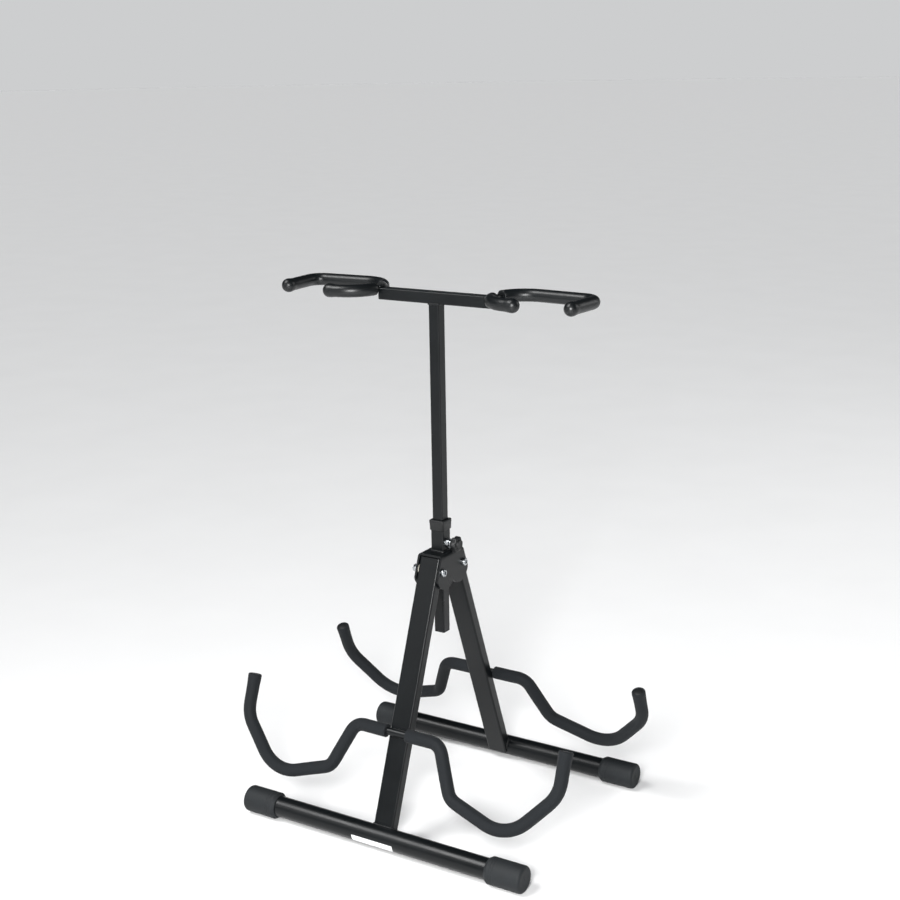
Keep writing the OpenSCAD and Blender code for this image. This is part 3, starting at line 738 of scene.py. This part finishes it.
def make_collar():
    """The collar's closed shell, as rows of (height, half width, corner radius)."""
    low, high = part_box("sleeve_collar")
    wide, bore = (high.x - low.x) / 2, 8.05 * MM
    top = high.z
    rows = [(low.z, 9.6, 2.0), (low.z, wide / MM - 0.9, 2.2), (low.z + 0.4 * MM, wide / MM - 0.5, 2.4),
            (top - 5.0 * MM, wide / MM - 0.25, 2.5), (top - 4.4 * MM, wide / MM, 2.5),
            (top - 1.2 * MM, wide / MM, 2.5), (top - 0.75 * MM, wide / MM - 0.1, 2.4),
            (top - 0.35 * MM, wide / MM - 0.35, 2.2), (top - 0.1 * MM, wide / MM - 0.75, 1.9),
            (top, wide / MM - 1.2, 1.6), (top, bore / MM + 0.5, 1.4),
            (top - 0.5 * MM, bore / MM, 1.2), (top - 3 * MM, bore / MM, 1.2),
            (top - 3 * MM, 9.6, 2.0)]
    rings = [np.concatenate([rounded_square(half * MM, r * MM), np.full((28, 1), z)], 1)
             for z, half, r in rows]
    piece = make_piece("collar", [(np.array(rings), True, True)], nylon_black, "bracket",
                       ["sleeve_collar"], 50)

make_collar()

# %% [markdown]
# ## Bolts and nuts
# A bolt is turned and then pressed: round almost everywhere, and hexagonal where a key or a
# spanner fits. One formula covers both: the radius is the lesser of a circle's and a
# hexagon's. A chamfered nut appears by itself, because the circle cuts off the corners.

# %% Turned and hexagonal shapes
ROUND = 1.0   # a hexagon so wide that only the circle counts

def turned(stations, centre_y, centre_z, sides=72):
    """Rings about a line along X, from rows of (x, circle's radius, hexagon's half width)."""
    x, circle, flat = (np.array(stations).T)[:, :, None]
    a = np.linspace(0, 2 * math.pi, sides, endpoint=False)[None, :]
    sector = (a + math.pi / 6) % (math.pi / 3) - math.pi / 6
    radius = np.minimum(circle, flat / np.cos(sector))
    return np.stack(np.broadcast_arrays(x, centre_y + radius * np.cos(a),
                                        centre_z + radius * np.sin(a)), -1)

def thread(x0, x1, crest, depth, pitch):
    """Stations of a fine thread drawn as closed grooves, one for each pitch."""
    count = int(abs(x1 - x0) / pitch * 2)
    x = np.linspace(x0, x1, count)
    r = crest - depth * (np.arange(count) % 2)
    return [(float(p), float(q), ROUND) for p, q in zip(x, r)]

def make_pivot_bolt(end):
    """A button-head socket bolt: thread's end, shank, head and the socket's floor."""
    far = -CHEEK_X - 8.5 * MM
    r = 3 * MM
    stations = [(far, 0, ROUND), (far, r - 0.7 * MM, ROUND), (far + 0.7 * MM, r, ROUND)]
    stations += thread(far + 1 * MM, far + 2.4 * MM, r, 0.35 * MM, 0.7 * MM)
    stations += [(far + 3 * MM, r, ROUND), (CHEEK_X + 0.02 * MM, r, ROUND),
                 (CHEEK_X + 0.02 * MM, 5.0 * MM, ROUND), (CHEEK_X + 0.3 * MM, 5.25 * MM, ROUND)]
    stations += [(float(x), float(q), ROUND) for x, q in
                 corner(CHEEK_X + 2.5 * MM, 3.25 * MM, 2.0 * MM, 90, 0, 8)]
    stations += [(CHEEK_X + 4.5 * MM, 2.6 * MM, ROUND), (CHEEK_X + 4.2 * MM, 2.35 * MM, 2.1 * MM),
                 (CHEEK_X + 2.2 * MM, 2.35 * MM, 2.0 * MM), (CHEEK_X + 2.0 * MM, 0, ROUND)]
    side = -1 if end == "front" else 1
    rings = turned(stations, side * PIVOT_Y, PIVOT_Z)
    piece = make_piece(f"bolt_{end}", [(rings, False, True)], zinc, "bracket",
                       [f"{end}_pivot_bolt"], 30)

def make_lock_nuts():
    """Two flanged lock nuts: washer face, chamfered hexagon and the ring that grips."""
    half = 5 * MM
    flange = [(0, 3), (0, 5.9), (0.5, 6.1), (1, 5.9)]
    hexagon = [(1.05, 5.3), (1.5, 5.75), (5.4, 5.75), (5.8, 5.2), (6, 4.6)]
    grip = [(6.05, 4.35), (6.9, 4.3), (7.3, 3.9), (7.4, 3.5), (7.1, 3.0)]
    stations = [(-CHEEK_X - x * MM, r * MM, flat) for part, flat in
                ((flange, ROUND), (hexagon, half), (grip, ROUND)) for x, r in part]
    grids = [(turned(stations, y, PIVOT_Z), True, True) for y in (-PIVOT_Y, PIVOT_Y)]
    piece = make_piece("lock_nuts", grids, zinc, "bracket", ["pivot_lock_nuts"], 30)
    print("the nuts are", 2 * half / MM, "mm across flats")

for end in ROD_DROP:
    make_pivot_bolt(end)
make_lock_nuts()

# %% [markdown]
# ## The clamp knob
# The knob is moulded with six soft lobes for the fingers. Its rim is a circle with a sixfold
# wave, and the wave fades out towards the hub and the face, which a plain product of two
# functions gives. The face carries a low round boss.

# %% Knob
def make_knob():
    """Rings about the screw: the radius is a profile times one plus a fading sixfold wave."""
    low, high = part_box("clamp_knob")
    clamp_z = (low.z + high.z) / 2
    rows = [(9.0, 0.0, 0), (9.0, 3.0, 0), (0.0, 3.0, 0), (0.0, 6.0, 0),
            (0.3, 6.5, 0), (2.2, 6.6, 0), (2.5, 7.4, 0.2),
            (2.7, 9.0, 0.8), (3.2, 9.7, 1), (4.2, 10.1, 1), (9.0, 10.1, 1), (10.2, 9.7, 1),
            (10.8, 9.0, 0.9), (11.05, 8.2, 0.6), (11.1, 7.4, 0.2), (11.15, 7.05, 0),
            (11.7, 6.9, 0), (12.5, 6.7, 0), (12.85, 6.3, 0), (13.0, 5.6, 0), (12.8, 4.8, 0),
            (12.75, 0.0, 0)]
    x, r, wave = np.array(rows).T[:, :, None]
    a = np.linspace(0, 2 * math.pi, 96, endpoint=False)[None, :]
    radius = r * MM * (1 + 0.1 * wave * np.cos(6 * a))
    rings = np.stack(np.broadcast_arrays(low.x + x * MM, radius * np.cos(a),
                                         clamp_z + radius * np.sin(a)), -1)
    piece = make_piece("knob", [(rings, False, True)], nylon_black, "clamp", ["clamp_knob"], 45)

make_knob()

# %% [markdown]
# ## Weld beads
# The frame is welded, and a bead shows wherever two pieces meet. A weld is laid as a row of
# overlapping drops, so its radius rises and falls every 1.6 mm. Each bead is a thin sweep along
# the line where the two pieces meet, half sunk into both.

# %% Beads
RIPPLE = 1.6 * MM
BEAD_STEP = 0.4 * MM

def bead(points, size, upright, closed=False):
    """A rippled tube along 3-D points. `upright` is any direction that the line never takes."""
    line = np.array(points, float)
    if closed:
        line = np.concatenate([line, line[:1]])
    line = evenly_fine(line)
    heading = np.gradient(line, axis=0)
    heading /= np.linalg.norm(heading, axis=1)[:, None]
    first = np.cross(heading, upright)
    first /= np.linalg.norm(first, axis=1)[:, None]
    second = np.cross(first, heading)
    s = np.arange(len(line)) * BEAD_STEP
    radius = size * (0.82 + 0.18 * np.abs(np.sin(math.pi * s / RIPPLE)))
    if not closed:
        ends = np.minimum(s, s[-1] - s) / (1.5 * MM)
        radius = radius * np.sqrt(np.clip(ends, 0, 1))
    a = np.linspace(0, 2 * math.pi, 12, endpoint=False)
    rings = line[:, None] + radius[:, None, None] * (
        np.cos(a)[:, None] * first[:, None] + np.sin(a)[:, None] * second[:, None])
    return rings

def evenly_fine(points):
    """The same 3-D line with a point every BEAD_STEP."""
    s = np.concatenate([[0], np.cumsum(np.linalg.norm(np.diff(points, axis=0), axis=1))])
    even = np.arange(0, s[-1], BEAD_STEP)
    return np.stack([np.interp(even, s, points[:, k]) for k in range(3)], 1)

def square_loop(half, radius, z):
    """A rounded square at one height, for a bead round a square tube."""
    loop = rounded_square(half, radius)
    return np.concatenate([loop, np.full((len(loop), 1), z)], 1)

def make_leg_welds(end):
    """The bead round the leg's foot, and the two that hold the cradle rod to its face."""
    x, y = LEG_W / 2, LEG_T / 2
    saddle_y = np.concatenate([np.linspace(3.4 * MM, 2.5 * MM - y, 8), np.full(9, -y),
                               np.linspace(2.5 * MM - y, 3.4 * MM, 8)])
    saddle_x = np.concatenate([np.full(8, x), np.linspace(x - 2 * MM, 2 * MM - x, 9),
                               np.full(8, -x)])
    saddle_z = np.sqrt(FLOOR_R ** 2 - (saddle_y + FOOT_OUT) ** 2) - FOOT_DROP
    grids = [(from_leg(bead(np.stack([saddle_x, saddle_y, saddle_z], 1), 2.1 * MM, (0, 0, 1)), end),
              False, True)]
    for lift in (-1, 1):
        z = -ROD_DROP[end] + lift * 4.3 * MM
        line = np.array([[11 * MM, -y - 1.2 * MM, z], [-11 * MM, -y - 1.2 * MM, z]])
        grids.append((from_leg(bead(line, 1.9 * MM, (0, 0, 1)), end), False, True))
    make_piece(f"welds_{end}_leg", grids, powder_coat, f"{end}_leg", (), 60)

def make_mast_welds():
    """Beads under the crossbar, at both yokes, and round the sleeve on the bracket."""
    low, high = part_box("crossbar")
    half = (high.y - low.y) / 2
    grids = [(bead(square_loop(half, 1.8 * MM, low.z), 1.7 * MM, (0, 0, 1), True), True, True)]
    for side in SIDES.values():
        for lift in (-1, 1):
            z = YOKE_Z + lift * 3.0 * MM
            line = np.array([[side * high.x, -6 * MM, z], [side * high.x, 6 * MM, z]])
            grids.append((bead(line, 1.9 * MM, (0, 0, 1)), False, True))
    make_piece("welds_mast", grids, powder_coat, "upright", (), 60)
    loop = square_loop(HOLE, 2 * MM, TOP_Z)
    make_piece("weld_sleeve", [(bead(loop, 1.8 * MM, (0, 0, 1), True), True, True)], powder_coat,
               "bracket", (), 60)

for end in ROD_DROP:
    make_leg_welds(end)
make_mast_welds()

# %% [markdown]
# ## Finishes for the CAD parts
# The tubes, rods and small hardware keep their exact CAD shape, and only their material slots
# are filled. A dictionary from finish to nodes says which is which.

# %% Finish the CAD nodes
FINISHES = {
    powder_coat: ["sleeve_tube", "stop_block", "upright_tube", "crossbar", "left_yoke_rod",
                  "right_yoke_rod"] + [f"{end}_{part}" for end in ROD_DROP
                                       for part in ("leg_tube", "floor_tube", "cradle_rod")],
    nylon_black: ["front_leg_plug", "rear_leg_plug", "upright_end_plug", "left_crossbar_plug",
                  "right_crossbar_plug"],
    nylon_natural: ["pivot_washers", "front_pivot_bush", "rear_pivot_bush"],
    zinc: ["clamp_weld_nut", "clamp_screw"],
    vinyl: ["floor_tube_label"],
}
for finish, names in FINISHES.items():
    for name in names:
        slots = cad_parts[name].data.materials
        slots.clear()
        slots.append(finish)
    print(finish.name, "on", len(names), "CAD nodes")

# %% [markdown]
# ## Floor and light
# The rack stands on a plain pale floor under soft studio light. A wide sun-like lamp from the
# upper left lights the floor evenly, a softbox in front and to the left glances off the legs'
# faces, and a small lamp beside the camera draws the thin bright lines on every rounded edge.
# Black gloss shows its surroundings more than its own colour, so the sky is pale only near the
# horizon, as a lit backdrop is, and dark above, as a studio's ceiling is.

# %% Floor
def make_floor():
    """A wide pale disc at the height of the caps' lowest line."""
    mesh = bpy.data.meshes.new("floor")
    a = np.linspace(0, 2 * math.pi, 64, endpoint=False)
    rim = np.stack([40 * np.cos(a), 40 * np.sin(a), np.full(64, cad_low.z)], 1)
    mesh.from_pydata(rim, [], [list(range(64))])
    material, tree, shader, place = start_material("pale_floor_paint", Roughness=0.75)
    grain = add(tree, "ShaderNodeTexNoise",
                {"Vector": place, "Scale": per_metre(180), "Detail": 3.0})
    colour = add(tree, "ShaderNodeMix", {0: grain.outputs["Fac"], 6: linear("#efefef"),
                 7: linear("#f4f4f4")}, data_type="RGBA")
    tree.links.new(colour.outputs[2], shader.inputs["Base Color"])
    mesh.materials.append(material)
    floor = bpy.data.objects.new("floor", mesh)
    bpy.context.scene.collection.objects.link(floor)

make_floor()
print("floor at", round(cad_low.z / MM, 2), "mm")

# %% Lamps and surroundings
MIDDLE = (0, 0, 0.36)

def make_lamp(name, kind, place, power, **settings):
    """A lamp of that kind that faces the middle of the rack."""
    lamp = bpy.data.objects.new(name, bpy.data.lights.new(name, kind))
    lamp.data.energy = power
    for key, value in settings.items():
        setattr(lamp.data, key, value)
    lamp.location = place
    back = lamp.location - Matrix.Translation(MIDDLE).to_translation()
    lamp.rotation_euler = back.to_track_quat("Z", "Y").to_euler()
    bpy.context.scene.collection.objects.link(lamp)

make_lamp("daylight", "SUN", (-1.0, -1.0, 2.4), 2.7, angle=math.radians(28))
make_lamp("softbox", "AREA", (-1.7, -2.3, 1.3), 7, size=1.1)
make_lamp("edge_lamp", "AREA", (0.85, -1.75, 1.15), 60, size=0.6)
make_lamp("rim", "AREA", (1.8, 1.9, 1.6), 12, size=1.2)

world = bpy.data.worlds.new("studio")
world.use_nodes = True
sky = world.node_tree
look = sky.nodes.new("ShaderNodeTexCoord").outputs["Generated"]
height = add(sky, "ShaderNodeSeparateXYZ", {"Vector": look})
fade = add(sky, "ShaderNodeMapRange", {"Value": height.outputs["Z"], "From Min": 0.04,
           "From Max": 0.12, "To Min": 0.0, "To Max": 1.0}, interpolation_type="SMOOTHSTEP")
shade = add(sky, "ShaderNodeMix", {0: fade.outputs["Result"], 6: linear("#cdcecf"),
            7: linear("#34383c")}, data_type="RGBA")
sky.links.new(shade.outputs[2], sky.nodes["Background"].inputs["Color"])
sky.nodes["Background"].inputs["Strength"].default_value = 1.0
bpy.context.scene.world = world
bpy.context.scene.view_settings.view_transform = "Standard"
